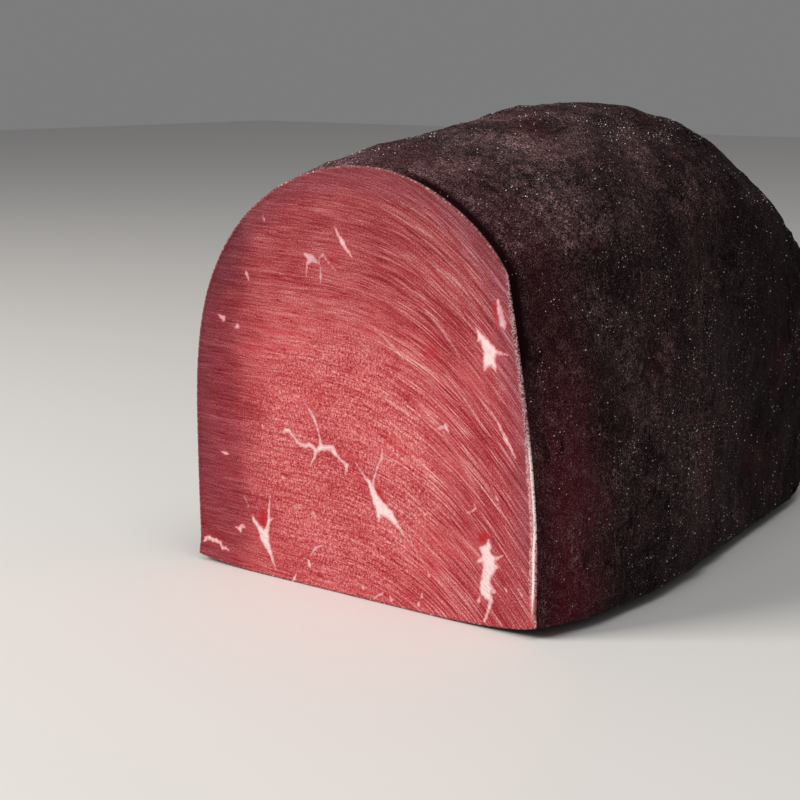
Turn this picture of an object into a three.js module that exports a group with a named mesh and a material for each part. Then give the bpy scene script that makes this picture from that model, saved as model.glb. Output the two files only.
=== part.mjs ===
// A cut piece of dried, smoked beef ham, resting on its flat underside.
// Millimetres, +Z up. The cut end stands upright and faces -Y, and the body runs back along +Y to a
// blunt far end that leans back above its nose. All sizes below are measured from the middle of the
// foot at the cut end: x to the right, y into the body, z up. The part is moved as a whole at the
// end, so that its origin is the bottom centre of its box.

import * as THREE from 'three';

// ---- Driving dimensions -------------------------------------------------------------------------

const bodyLength = 246;         // from the cut end to the nose, the farthest place of the far end
const cutHeight = 134;          // foot to crown, at the cut end
const halfWidth = 70.5;         // middle to the widest place of each side wall, at the cut end

// Corners of the cut end, x and z, seen from the front.
const footLeft = [-46, 0];      // between these two the underside is flat
const footRight = [36, 0];
const heelRight = [69.8, 3.5];  // lower corners, lifted a little off the table
const heelLeft = [-69.6, 1.8];
const wallRight = [halfWidth, 21];
const wallLeft = [-halfWidth, 50];
const shoulderRight = [59.2, 104.6];
const shoulderLeft = [-60, 100];
const crown = [2.7, cutHeight];

// The outline from corner to corner: the two handles of each curved stretch, then its end.
const stretches = [
  [[47, 0.5], [64, 1.2], heelRight],
  [[halfWidth, 7], [halfWidth, 12], wallRight],
  [[halfWidth, 50], [62.6, 87], shoulderRight],
  [[52.2, 117], [29.5, cutHeight], crown],
  [[-21.3, cutHeight], [-47, 123], shoulderLeft],
  [[-67.3, 88], [-halfWidth, 72], wallLeft],
  [[-halfWidth, 30], [-69.8, 12], heelLeft],
  [[-66, 0.9], [-56, 0.5], footLeft],
];

// The far end: its rings lean away from the cut end's upright plane, and shrink towards the nose.
const nose = [2.7, 46];         // x and z of the farthest place
const noseRadius = 26;          // roundness of the nose, seen from the side
const farLean = 0.92;           // above the nose the far end leans back, mm per mm of height
const farUndercut = 0.45;       // below it, it draws in under itself
const farLeanStart = 0.25;      // share of the length at which the lean sets in
const farRound = 52;            // length over which the body rounds off
const farPower = 2.5;           // 2 rounds it as an ellipse, more makes it blunter

// How the section changes with the distance y from the cut end: [y, millimetres], smoothly joined.
const crownRise = [[0, 0], [25, 3.0], [60, 8.6], [95, 13.2], [130, 14.8], [165, 8.5], [200, -4]];
const swellRight = [
  [0, 0], [14, 3], [30, 4.5], [58, 3.5], [85, -1.5], [114, -8], [150, -16], [190, -25], [246, -35],
];
const swellLeft = [[0, 0], [20, 1.6], [50, 2.5], [90, 0.5], [130, -5], [170, -12], [246, -27]];
const shoulderShare = 0.62;     // share of that change in width that the shoulders take
const shareFromZ = 25;          // the full change below, that share above
const shareToZ = 105;
const lowSide = 9;              // up to this height, what lies beside the foot moves and the foot doesn't

// The rind's edge is drawn in at the cut, and swells to full size over the lip's length.
const lipInset = 1.1;
const lipLength = 7;

// Relief of the rind. It fades out towards the foot, which is flat, and towards the cut.
const lumpHeight = 0.9;
const lumpSpan = 46;
const wrinkleHeight = 0.35;
const wrinkleSpan = 21;
const reliefFadeZ = 9;
const reliefFadeY = 14;

// Long low creases: which side, y and z of both ends, half width and depth.
const creases = [
  { side: 1, from: [27, 40], to: [60, 54], spread: 5, depth: 0.9 },
  { side: 1, from: [150, 128], to: [196, 84], spread: 5, depth: 1.0 },
  { side: 1, from: [108, 38], to: [124, 74], spread: 6, depth: 0.8 },
  { side: -1, from: [46, 34], to: [92, 70], spread: 6, depth: 1.0 },
  { side: -1, from: [120, 96], to: [176, 48], spread: 6, depth: 1.1 },
];

// Fineness of the faces.
const pointsAround = 96;        // corners in one ring
const lipRings = 3;
const ringsAlong = 32;          // rings from the lip to the start of the far end
const ringsFar = 10;            // rings round the far end

// ---- Small helpers ------------------------------------------------------------------------------

function smooth(edge0, edge1, x) {
  const t = Math.min(1, Math.max(0, (x - edge0) / (edge1 - edge0)));
  return t * t * (3 - 2 * t);
}

// A smooth curve through [y, value] pairs, level beyond its ends.
function valueAt(keys, y) {
  const last = keys.length - 1;
  if (y <= keys[0][0]) return keys[0][1];
  if (y >= keys[last][0]) return keys[last][1];
  const i = keys.findIndex((key) => key[0] > y) - 1;
  const slope = (a, b) => (keys[b][1] - keys[a][1]) / (keys[b][0] - keys[a][0]);
  const slopeHere = slope(Math.max(i - 1, 0), i + 1);
  const slopeNext = slope(i, Math.min(i + 2, last));
  const span = keys[i + 1][0] - keys[i][0];
  const t = (y - keys[i][0]) / span;
  const fromHere = (1 + 2 * t) * (1 - t) ** 2 * keys[i][1] + t * (1 - t) ** 2 * span * slopeHere;
  const fromNext = t * t * (3 - 2 * t) * keys[i + 1][1] + t * t * (t - 1) * span * slopeNext;
  return fromHere + fromNext;
}

function seededRandom(seed) {
  let state = seed;
  return () => {
    state = (state * 1664525 + 1013904223) % 4294967296;
    return state / 4294967296;
  };
}

// A sum of waves in seeded directions: a smooth, uneven relief, mostly between -1 and 1.
function makeRelief(seed, span, count) {
  const random = seededRandom(seed);
  const waves = [];
  for (let i = 0; i < count; i++) {
    const direction = new THREE.Vector3(random() - 0.5, random() - 0.5, random() - 0.5).normalize();
    const length = span * (0.7 + 0.6 * random());
    waves.push({ turn: direction.multiplyScalar((2 * Math.PI) / length), phase: 2 * Math.PI * random() });
  }
  return (point) => {
    const sum = waves.reduce((total, wave) => total + Math.sin(wave.turn.dot(point) + wave.phase), 0);
    return sum / Math.sqrt(count);
  };
}

const lumps = makeRelief(7, lumpSpan, 9);
const wrinkles = makeRelief(23, wrinkleSpan, 16);

// How deep the creases are at a point of the rind.
function creaseDepth(point) {
  let depth = 0;
  for (const crease of creases) {
    if (Math.sign(point.x) !== crease.side) continue;
    const start = new THREE.Vector2(...crease.from);
    const along = new THREE.Vector2(...crease.to).sub(start);
    const reach = new THREE.Vector2(point.y, point.z).sub(start);
    const share = Math.min(1, Math.max(0, reach.dot(along) / along.lengthSq()));
    const distance = reach.addScaledVector(along, -share).length();
    depth += crease.depth * Math.exp(-((distance / crease.spread) ** 2));
  }
  return depth;
}

// ---- The section --------------------------------------------------------------------------------

function cutOutline() {
  const path = new THREE.Path();
  path.moveTo(...footLeft);
  path.lineTo(...footRight);
  for (const [handleA, handleB, end] of stretches) path.bezierCurveTo(...handleA, ...handleB, ...end);
  return path.getSpacedPoints(pointsAround).slice(0, pointsAround);
}

const outline = cutOutline();

// One corner of the section at distance y from the cut end.
function sectionPoint(index, y) {
  const { x, y: z } = outline[index];
  const footEdge = x > 0 ? footRight[0] : -footLeft[0];
  const besideFoot = Math.max(0, Math.abs(x) - footEdge) / (halfWidth - footEdge);
  const reach = THREE.MathUtils.lerp(besideFoot, Math.abs(x) / halfWidth, smooth(0, lowSide, z));
  const share = 1 + (shoulderShare - 1) * smooth(shareFromZ, shareToZ, z);
  const swell = share * valueAt(x > 0 ? swellRight : swellLeft, y) * reach;
  const rise = valueAt(crownRise, y) * smooth(0, cutHeight, z);
  return new THREE.Vector3(x + Math.sign(x) * swell, y, z + rise);
}

// Outward direction of the outline at one of its corners.
function outwardAt(index) {
  const before = outline[(index + pointsAround - 1) % pointsAround];
  const after = outline[(index + 1) % pointsAround];
  return new THREE.Vector3(after.y - before.y, 0, before.x - after.x).normalize();
}

// ---- The body -----------------------------------------------------------------------------------

// Where each ring stands: y is its distance from the cut end, grow its size about the nose.
function ringPlaces() {
  const places = [];
  for (let i = 0; i <= lipRings; i++) places.push({ y: (lipLength * i) / lipRings, grow: 1 });
  const straight = bodyLength - farRound - lipLength;
  for (let i = 1; i <= ringsAlong; i++) places.push({ y: lipLength + (straight * i) / ringsAlong, grow: 1 });
  for (let i = 1; i < ringsFar; i++) {
    const angle = (Math.PI / 2) * (i / ringsFar);
    const along = Math.sin(angle) ** (2 / farPower);
    const grow = Math.cos(angle) ** (2 / farPower);
    places.push({ y: bodyLength - farRound * (1 - along), grow });
  }
  return places;
}

// The rings lean further and further on the way to the far end, back above the nose and in below it.
function leaningY(y, z) {
  const [, noseZ] = nose;
  const fromNose = Math.hypot(z - noseZ, noseRadius) - noseRadius;
  const lean = z > noseZ ? farLean : farUndercut;
  return y - lean * fromNose * smooth(farLeanStart * bodyLength, bodyLength, y);
}

function bodyPoint(index, place) {
  const [noseX, noseZ] = nose;
  const point = sectionPoint(index, leaningY(place.y, outline[index].y));
  point.x = noseX + (point.x - noseX) * place.grow;
  point.z = noseZ + (point.z - noseZ) * place.grow;
  point.y = leaningY(place.y, point.z);

  const lip = lipInset * (1 - smooth(0, lipLength, place.y));
  const relief = lumpHeight * lumps(point) + wrinkleHeight * wrinkles(point) - creaseDepth(point);
  const push = relief * smooth(0, reliefFadeY, place.y) - lip;
  return point.addScaledVector(outwardAt(index), push * smooth(0, reliefFadeZ, point.z));
}

function hamGeometry() {
  const places = ringPlaces();
  const corners = [];
  for (const place of places) {
    for (let i = 0; i < pointsAround; i++) corners.push(bodyPoint(i, place));
  }
  const cutCentre = corners.push(new THREE.Vector3(0, 0, cutHeight / 2)) - 1;
  const noseTip = corners.push(new THREE.Vector3(nose[0], bodyLength, nose[1])) - 1;

  const faces = [];
  const lastRing = (places.length - 1) * pointsAround;
  for (let i = 0; i < pointsAround; i++) {
    const next = (i + 1) % pointsAround;
    faces.push(cutCentre, i, next);
    faces.push(noseTip, lastRing + next, lastRing + i);
    for (let near = 0; near < lastRing; near += pointsAround) {
      const far = near + pointsAround;
      faces.push(near + i, far + i, far + next);
      faces.push(near + i, far + next, near + next);
    }
  }
  const geometry = new THREE.BufferGeometry();
  geometry.setAttribute('position', new THREE.Float32BufferAttribute(corners.flatMap((c) => c.toArray()), 3));
  geometry.setIndex(faces);
  geometry.computeVertexNormals();
  geometry.computeBoundingBox();
  return geometry;
}

// ---- The part -----------------------------------------------------------------------------------

const rindMaterial = new THREE.MeshStandardMaterial({ color: 0x2c1a1c, roughness: 0.7, metalness: 0 });

const ham = new THREE.Mesh(hamGeometry(), rindMaterial);
ham.name = 'beef_ham';

const part = new THREE.Group();
part.add(ham);
const { min, max } = ham.geometry.boundingBox;
part.position.set(-(min.x + max.x) / 2, -(min.y + max.y) / 2, -min.z);

export default part;
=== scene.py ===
# A cut piece of dried, smoked beef ham: the rind and the fresh cut as real meshes, with their
# materials, the marbling, the salt on the rind, a pale floor and soft light.
# Lengths are millimetres until a mesh is made, which is in metres. Places on the ham are measured as
# in the model: x from the middle of the foot at the cut end, y into the body, z up.

import functools
import itertools
import math
from types import SimpleNamespace

import bpy
import numpy as np
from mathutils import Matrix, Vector
from mathutils.kdtree import KDTree


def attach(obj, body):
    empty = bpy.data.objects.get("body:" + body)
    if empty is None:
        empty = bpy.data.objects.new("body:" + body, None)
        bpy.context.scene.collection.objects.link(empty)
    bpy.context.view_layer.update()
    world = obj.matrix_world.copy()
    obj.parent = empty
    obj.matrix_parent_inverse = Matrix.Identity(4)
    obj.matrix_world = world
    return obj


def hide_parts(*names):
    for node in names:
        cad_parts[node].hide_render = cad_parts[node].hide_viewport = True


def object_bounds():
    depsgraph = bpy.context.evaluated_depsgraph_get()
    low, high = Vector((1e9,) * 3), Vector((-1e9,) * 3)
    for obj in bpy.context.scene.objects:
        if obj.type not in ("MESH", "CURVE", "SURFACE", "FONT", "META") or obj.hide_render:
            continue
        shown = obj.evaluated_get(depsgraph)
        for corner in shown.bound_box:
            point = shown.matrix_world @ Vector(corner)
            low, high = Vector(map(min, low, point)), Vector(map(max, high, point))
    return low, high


MM = 0.001

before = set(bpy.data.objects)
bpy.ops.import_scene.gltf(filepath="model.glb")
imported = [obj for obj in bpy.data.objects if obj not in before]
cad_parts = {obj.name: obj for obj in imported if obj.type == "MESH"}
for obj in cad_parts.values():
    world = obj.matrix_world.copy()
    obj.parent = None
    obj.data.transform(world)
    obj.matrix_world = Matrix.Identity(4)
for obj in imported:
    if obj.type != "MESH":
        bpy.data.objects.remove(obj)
cad_low, cad_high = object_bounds()

# ---- Driving dimensions of the form, as in the model --------------------

BODY_LENGTH = 246.0
CUT_HEIGHT = 134.0
HALF_WIDTH = 70.5
# Where the middle of the foot lies in the frame: the cut end is the frame's nearest plane.
FOOT_PLACE = np.array((-0.663, cad_low.y / MM, 0.0))

FOOT_LEFT = (-46.0, 0.0)
FOOT_RIGHT = (36.0, 0.0)
HEEL_RIGHT = (69.8, 3.5)
HEEL_LEFT = (-69.6, 1.8)
WALL_RIGHT = (HALF_WIDTH, 21.0)
WALL_LEFT = (-HALF_WIDTH, 50.0)
SHOULDER_RIGHT = (59.2, 104.6)
SHOULDER_LEFT = (-60.0, 100.0)
CROWN = (2.7, CUT_HEIGHT)

# The cut's outline from corner to corner: the two handles of each curved stretch, then its end.
STRETCHES = [
    ((47.0, 0.5), (64.0, 1.2), HEEL_RIGHT),
    ((HALF_WIDTH, 7.0), (HALF_WIDTH, 12.0), WALL_RIGHT),
    ((HALF_WIDTH, 50.0), (62.6, 87.0), SHOULDER_RIGHT),
    ((52.2, 117.0), (29.5, CUT_HEIGHT), CROWN),
    ((-21.3, CUT_HEIGHT), (-47.0, 123.0), SHOULDER_LEFT),
    ((-67.3, 88.0), (-HALF_WIDTH, 72.0), WALL_LEFT),
    ((-HALF_WIDTH, 30.0), (-69.8, 12.0), HEEL_LEFT),
    ((-66.0, 0.9), (-56.0, 0.5), FOOT_LEFT),
]

# The far end leans back above its nose, draws in below it, and rounds off.
NOSE_X, NOSE_Z = 2.7, 46.0
NOSE_RADIUS = 26.0
FAR_LEAN = 0.92
FAR_UNDERCUT = 0.45
FAR_LEAN_START = 0.25
FAR_ROUND = 52.0
FAR_POWER = 2.5

# How the section changes with y: pairs of y and millimetres.
CROWN_RISE = [(0, 0), (25, 3.0), (60, 8.6), (95, 13.2), (130, 14.8), (165, 8.5), (200, -4)]
SWELL_RIGHT = [
    (0, 0), (14, 3), (30, 4.5), (58, 3.5), (85, -1.5), (114, -8), (150, -16), (190, -25), (246, -35)
]
SWELL_LEFT = [(0, 0), (20, 1.6), (50, 2.5), (90, 0.5), (130, -5), (170, -12), (246, -27)]
SHOULDER_SHARE = 0.62
SHARE_FROM_Z, SHARE_TO_Z = 25.0, 105.0
LOW_SIDE = 9.0

# The rind's edge is drawn in at the cut. Behind it lie low lumps, wrinkles and creases.
LIP_INSET = 1.1
LIP_LENGTH = 7.0
LUMP_HEIGHT, LUMP_SPAN, LUMP_SEED, LUMP_WAVES = 0.9, 46.0, 7, 9
WRINKLE_HEIGHT, WRINKLE_SPAN, WRINKLE_SEED, WRINKLE_WAVES = 0.35, 21.0, 23, 16
RELIEF_FADE_Z, RELIEF_FADE_Y = 9.0, 14.0

# Long low creases: side, start (y, z), end (y, z), half width, depth.
CREASES = [
    (1, (27, 40), (60, 54), 5, 0.9),
    (1, (150, 128), (196, 84), 5, 1.0),
    (1, (108, 38), (124, 74), 6, 0.8),
    (-1, (46, 34), (92, 70), 6, 1.0),
    (-1, (120, 96), (176, 48), 6, 1.1),
]

# ---- Fineness --------------------

RIND_AROUND = 384  # places round each ring of the rind
RIND_LIP_RINGS = 14
RIND_STRAIGHT_RINGS = 178
RIND_FAR_RINGS = 54
CUT_ACROSS = 340  # cells along the cut's foot and its arch
CUT_UP = 268  # cells along each side of the cut
STRETCH_STEPS = 400  # points in each stretch of the outline
OUTWARD_REACH = 5.0  # the outward direction is read over this much of the outline to either side


# ---- Small helpers --------------------

LCG_FACTOR, LCG_STEP, LCG_RANGE = 1664525, 1013904223, 2**32  # the model's seeded draws
WAVE_SHORTEST, WAVE_VARIETY = 0.7, 0.6  # a wave's least length and what chance adds, in spans
NOISE_SLOPES = 256  # seeded slopes that the noise chooses from, a power of two
NOISE_GAIN = 1.6  # brings the noise to between -1 and 1
OCTAVE_SHIFT = 13.7  # cells from one octave's place to the next one's
TINY = 1e-9  # keeps a division by a length away from zero


def smooth(edge0, edge1, x):
    t = np.clip((x - edge0) / (edge1 - edge0), 0.0, 1.0)
    return t * t * (3 - 2 * t)


def stacked(*parts):
    """Arrays, and single numbers for all rows, side by side as columns."""
    return np.stack(np.broadcast_arrays(*parts), axis=-1)


def value_at(keys, y):
    """A smooth curve through (y, value) pairs, level beyond its ends."""
    at, value = (np.array(c, float) for c in zip(*keys))
    last = len(at) - 1
    y = np.clip(y, at[0], at[-1])
    i = np.clip(np.searchsorted(at, y, side="right") - 1, 0, last - 1)

    def slope(a, b):
        return (value[b] - value[a]) / (at[b] - at[a])

    here, after = slope(np.maximum(i - 1, 0), i + 1), slope(i, np.minimum(i + 2, last))
    span = at[i + 1] - at[i]
    t = (y - at[i]) / span
    from_here = (1 + 2 * t) * (1 - t) ** 2 * value[i] + t * (1 - t) ** 2 * span * here
    from_after = t * t * (3 - 2 * t) * value[i + 1] + t * t * (t - 1) * span * after
    return from_here + from_after


def seeded_random(seed):
    """The model's own random numbers from 0 to 1, so that both have the same relief."""
    state = seed
    while True:
        state = (state * LCG_FACTOR + LCG_STEP) % LCG_RANGE
        yield state / LCG_RANGE


def wave_relief(points, seed, span, count):
    """The model's low relief: a sum of waves in seeded directions."""
    draw = seeded_random(seed)
    total = np.zeros(len(points))
    for _ in range(count):
        direction = np.array([next(draw) - 0.5 for _ in range(3)])
        length = span * (WAVE_SHORTEST + WAVE_VARIETY * next(draw))
        turn = direction / np.linalg.norm(direction) * 2 * math.pi / length
        total += np.sin(points @ turn + 2 * math.pi * next(draw))
    return total / math.sqrt(count)


def cell_noise(points, seed):
    """Smooth seeded noise, mostly between -1 and 1, at points measured in cells."""
    draw = np.random.default_rng(seed)
    table = draw.permutation(NOISE_SLOPES)
    slopes = draw.normal(size=(NOISE_SLOPES, 3))
    slopes /= np.linalg.norm(slopes, axis=1)[:, None]
    wrap = NOISE_SLOPES - 1
    cell = np.floor(points).astype(int)
    inside = points - cell
    ease = inside**3 * (inside * (inside * 6 - 15) + 10)
    total = np.zeros(len(points))
    for corner in itertools.product((0, 1), repeat=3):
        x, y, z = ((cell + corner) & wrap).T
        which = table[(table[(table[x] + y) & wrap] + z) & wrap]
        weight = np.where(corner, ease, 1 - ease).prod(axis=1)
        total += weight * ((inside - corner) * slopes[which]).sum(axis=1)
    return NOISE_GAIN * total


def octaves(points, span, seed, count=3, gain=0.5):
    """Noise over several octaves. span is the coarsest one's cell in millimetres."""
    total, height = np.zeros(len(points)), 1.0
    for i in range(count):
        total += height * cell_noise(points / span * 2**i + OCTAVE_SHIFT * i, seed + i)
        height *= gain
    return total


def linear(*rgb):
    """A display colour, 0 to 255 on the sRGB curve, as a linear colour for a shader."""
    parts = [c / 255 for c in rgb]
    return tuple(c / 12.92 if c <= 0.04045 else ((c + 0.055) / 1.055) ** 2.4 for c in parts) + (1.0,)


# ---- The section --------------------


def dense_outline():
    """The cut's outline as a dense run of (x, z), from the foot's left end and back to it."""
    t = np.linspace(0, 1, STRETCH_STEPS, endpoint=False)[:, None]
    runs = [np.array(FOOT_LEFT) + t * (np.array(FOOT_RIGHT) - np.array(FOOT_LEFT))]
    start = np.array(FOOT_RIGHT)
    for a, b, end in STRETCHES:
        a, b, end = map(np.array, (a, b, end))
        runs.append(
            start * (1 - t) ** 3 + 3 * a * t * (1 - t) ** 2 + 3 * b * t**2 * (1 - t) + end * t**3
        )
        start = end
    return np.vstack(runs + [np.array([FOOT_LEFT])])


OUTLINE = dense_outline()
OUTLINE_AT = np.concatenate([[0], np.hypot(*np.diff(OUTLINE, axis=0).T).cumsum()])
OUTLINE_LENGTH = OUTLINE_AT[-1]


def outline_point(at):
    """(x, z) of the outline at a distance along it."""
    at = np.asarray(at) % OUTLINE_LENGTH
    return stacked(*(np.interp(at, OUTLINE_AT, OUTLINE[:, k]) for k in (0, 1)))


def outline_place(corner):
    """How far along the outline a corner lies."""
    return OUTLINE_AT[np.hypot(*(OUTLINE - np.array(corner)).T).argmin()]


def outward(at):
    """Outward direction of the outline in x and z."""
    before, after = outline_point(at - OUTWARD_REACH), outline_point(at + OUTWARD_REACH)
    step = after - before
    normal = stacked(step[..., 1], -step[..., 0])
    return normal / np.linalg.norm(normal, axis=-1, keepdims=True)


def leaning_y(y, z):
    """Where a ring that stands at y is at height z, as the rings lean more towards the far end."""
    from_nose = np.hypot(z - NOSE_Z, NOSE_RADIUS) - NOSE_RADIUS
    lean = np.where(z > NOSE_Z, FAR_LEAN, FAR_UNDERCUT)
    return y - lean * from_nose * smooth(FAR_LEAN_START * BODY_LENGTH, BODY_LENGTH, y)


def crease_depth(points):
    depth = np.zeros(len(points))
    for side, start, end, spread, deep in CREASES:
        along = np.array(end, float) - start
        reach = points[:, 1:] - start
        share = np.clip(reach @ along / (along @ along), 0, 1)
        distance = np.linalg.norm(reach - share[:, None] * along, axis=1)
        depth += deep * np.exp(-((distance / spread) ** 2)) * (np.sign(points[:, 0]) == side)
    return depth


def body_points(at, y, grow):
    """The model's rind at distances along the outline, for rings that stand at y with size grow."""
    x, z = outline_point(at).T
    near_y = leaning_y(y, z)
    foot_edge = np.where(x > 0, FOOT_RIGHT[0], -FOOT_LEFT[0])
    beside_foot = np.maximum(0, np.abs(x) - foot_edge) / (HALF_WIDTH - foot_edge)
    full = smooth(0, LOW_SIDE, z)
    reach = beside_foot * (1 - full) + np.abs(x) / HALF_WIDTH * full
    share = 1 + (SHOULDER_SHARE - 1) * smooth(SHARE_FROM_Z, SHARE_TO_Z, z)
    swell = np.where(x > 0, value_at(SWELL_RIGHT, near_y), value_at(SWELL_LEFT, near_y))
    rise = value_at(CROWN_RISE, near_y) * smooth(0, CUT_HEIGHT, z)
    x, z = x + np.sign(x) * swell * share * reach, z + rise
    x, z = NOSE_X + (x - NOSE_X) * grow, NOSE_Z + (z - NOSE_Z) * grow
    points = stacked(x, leaning_y(y, z), z)
    lip = LIP_INSET * (1 - smooth(0, LIP_LENGTH, y))
    relief = LUMP_HEIGHT * wave_relief(points, LUMP_SEED, LUMP_SPAN, LUMP_WAVES)
    wrinkles = wave_relief(points, WRINKLE_SEED, WRINKLE_SPAN, WRINKLE_WAVES)
    relief += WRINKLE_HEIGHT * wrinkles - crease_depth(points)
    push = (relief * smooth(0, RELIEF_FADE_Y, y) - lip) * smooth(0, RELIEF_FADE_Z, z)
    side = outward(at)
    return points + stacked(side[:, 0] * push, 0.0, side[:, 1] * push)


def in_frame(points):
    """Millimetres on the ham to metres in the frame."""
    return (np.asarray(points) + FOOT_PLACE) * MM


def inside_cad(points):
    """Places on the ham, moved to the solid's box where they would lie outside it."""
    low, high = np.array(cad_low) / MM, np.array(cad_high) / MM
    return np.clip(points + FOOT_PLACE, low, high) - FOOT_PLACE


# ---- Meshes --------------------


def make_mesh(name, points, faces, uv=None, numbers=None, materials=(), which=None):
    """A smooth-shaded object from points in millimetres on the ham.

    uv is one place on the map for each face corner, numbers the named values of each point, and
    which the material of each face."""
    mesh = bpy.data.meshes.new(name)
    mesh.from_pydata(in_frame(points).tolist(), [], faces)
    mesh.shade_smooth()
    if uv is not None:
        layer = mesh.uv_layers.new(name="OFBake")
        layer.uv.foreach_set("vector", np.asarray(uv, np.float32).ravel())
    for label, values in (numbers or {}).items():
        values = np.asarray(values, np.float32)
        kind, field = ("FLOAT", "value") if values.ndim == 1 else ("FLOAT_VECTOR", "vector")
        mesh.attributes.new(label, kind, "POINT").data.foreach_set(field, values.ravel())
    for material in materials:
        mesh.materials.append(material)
    if which is not None:
        mesh.polygons.foreach_set("material_index", np.asarray(which, np.int32))
    piece = bpy.data.objects.new(name, mesh)
    bpy.context.scene.collection.objects.link(piece)
    return piece


def grid_normals(points):
    """Outward normals of a grid of rings (ring, place round it, xyz) whose last axis wraps round."""
    around = np.roll(points, -1, axis=1) - np.roll(points, 1, axis=1)
    along = np.gradient(points, axis=0)
    normal = np.cross(around, along)
    return normal / np.maximum(np.linalg.norm(normal, axis=2, keepdims=True), TINY)


# ---- The rind --------------------

RIM_Y = 0.75  # where the rind begins, behind the cut's own rounded edge
RIM_HIDDEN = 0.35  # there it comes out of the cut piece from this deep
RIM_RAGGED, RIM_RAGGED_SPAN, RIM_RAGGED_TO_Y = 0.25, 3.0, 4.0  # how unevenly it begins, and how far
CAP_Y, CAP_HIDDEN = 1.7, 1.4  # the hidden cap that closes it lies inside the cut piece
LIP_CROWDING = 1.4  # above 1 the rings of the lip stand closer to the cut
FAR_HEIGHT = 62.0  # rough half height of the far end, which spaces its rings evenly
FAR_STEPS = 2000  # steps in which the far end's profile is measured
NOSE_ON_MAP = 4.0  # length on the map from the last ring to the nose

# Fine relief of the dried surface. Spans are cells of noise, stretches divide them in x, y and z, and
# pairs are the noise at which a kind of relief begins and is full.
CRAG_HEIGHT, CRAG_SPAN, CRAG_GAIN = 0.34, 11.0, 0.55
BEND_REACH, BEND_SPAN = 2.2, 9.0
WORM_DEPTH, WORM_SPAN, WORM_STRETCH = 0.6, 5.5, (1.0, 1.25, 0.5)
WORM_RIDGE, WORM_PATCH, WORM_PATCH_SPAN = (0.82, 1.0), (-0.1, 0.5), 23.0
WORM_TURN_SPAN = 8.0  # cells in which worms are ridges or grooves
PIT_DEPTH, PIT_SPAN, PIT_STEP = 0.35, 3.4, (0.35, 0.8)
FOLD_DEPTH, FOLD_SPAN, FOLD_STRETCH = 0.55, 34.0, (1.0, 1.0, 1.3)
FOLD_RIDGE, FOLD_PATCH, FOLD_PATCH_SPAN = (0.9, 1.0), (-0.2, 0.4), 50.0
RELIEF_SUNK = 0.25  # the whole of it is sunk by this much
RIND_FADE_Y, RIND_FADE_Z = (1.0, 7.0), (0.3, 7.0)  # where it sets in behind the cut and above the foot

# Rounded knobs low on the right wall, and dusty blooms: place (x, y, z), reach, height or strength.
KNOBS = [
    ((52, 130, 13), (12, 3.2, 4.8), 1.1),
    ((50, 139, 8), (12, 3.0, 3.4), 0.9),
    ((42, 160, 13), (12, 3.8, 4.4), 1.1),
    ((60, 116, 20), (12, 3.0, 5.5), 0.7),
]
BLOOMS = [
    ((50, 34, 118), (9, 9, 8), 1.0),
    ((56, 26, 110), (9, 5, 5), 0.6),
    ((24, 50, 137), (13, 6, 6), 1.0),
    ((70, 32, 95), (20, 9, 8), 0.5),
    ((68, 47, 77), (20, 11, 10), 0.5),
    ((68, 70, 73), (20, 3, 9), 0.9),
    ((69, 60, 62), (20, 3, 7), 0.6),
    ((48, 93, 117), (12, 6, 3), 0.7),
    ((70, 33, 44), (20, 5, 3.5), 0.6),
    ((70, 42, 50), (20, 5, 3.5), 0.6),
    ((69, 52, 55), (20, 5, 3.5), 0.5),
    ((70, 13, 22), (20, 1.6, 7), 0.8),
    ((66, 84, 40), (20, 18, 16), 0.45),
    ((52, 130, 13), (12, 4, 6), 1.0),
    ((42, 160, 13), (12, 6, 6), 1.0),
    ((-15, 3, 133), (15, 5, 7), 1.0),
]


def near_places(points, places):
    """How near points are to places, each of which fades over its own reach from its own height."""
    total = np.zeros(len(points))
    for place, reach, height in places:
        total += height * np.exp(-(((points - place) / reach) ** 2).sum(axis=1))
    return total


def rind_places():
    """y and size of every ring of the rind, from the rim to just short of the nose."""
    lip = np.maximum(np.arange(RIND_LIP_RINGS) - 1, 0) / (RIND_LIP_RINGS - 1)
    lip = RIM_Y + (LIP_LENGTH - RIM_Y) * lip**LIP_CROWDING
    far_start = BODY_LENGTH - FAR_ROUND
    straight = np.linspace(LIP_LENGTH, far_start, RIND_STRAIGHT_RINGS, endpoint=False)
    angle = np.linspace(0, math.pi / 2, FAR_STEPS)
    along, size = np.sin(angle) ** (2 / FAR_POWER), np.cos(angle) ** (2 / FAR_POWER)
    reach = np.hypot(np.diff(along) * FAR_ROUND, np.diff(size) * FAR_HEIGHT)
    reach = np.concatenate([[0], reach.cumsum()])
    even = np.linspace(0, reach[-1], RIND_FAR_RINGS, endpoint=False)
    far_y = far_start + FAR_ROUND * np.interp(even, reach, along)
    y = np.concatenate([lip, straight, far_y])
    grow = np.concatenate([np.ones(len(lip) + len(straight)), np.interp(even, reach, size)])
    return y, grow


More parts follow.
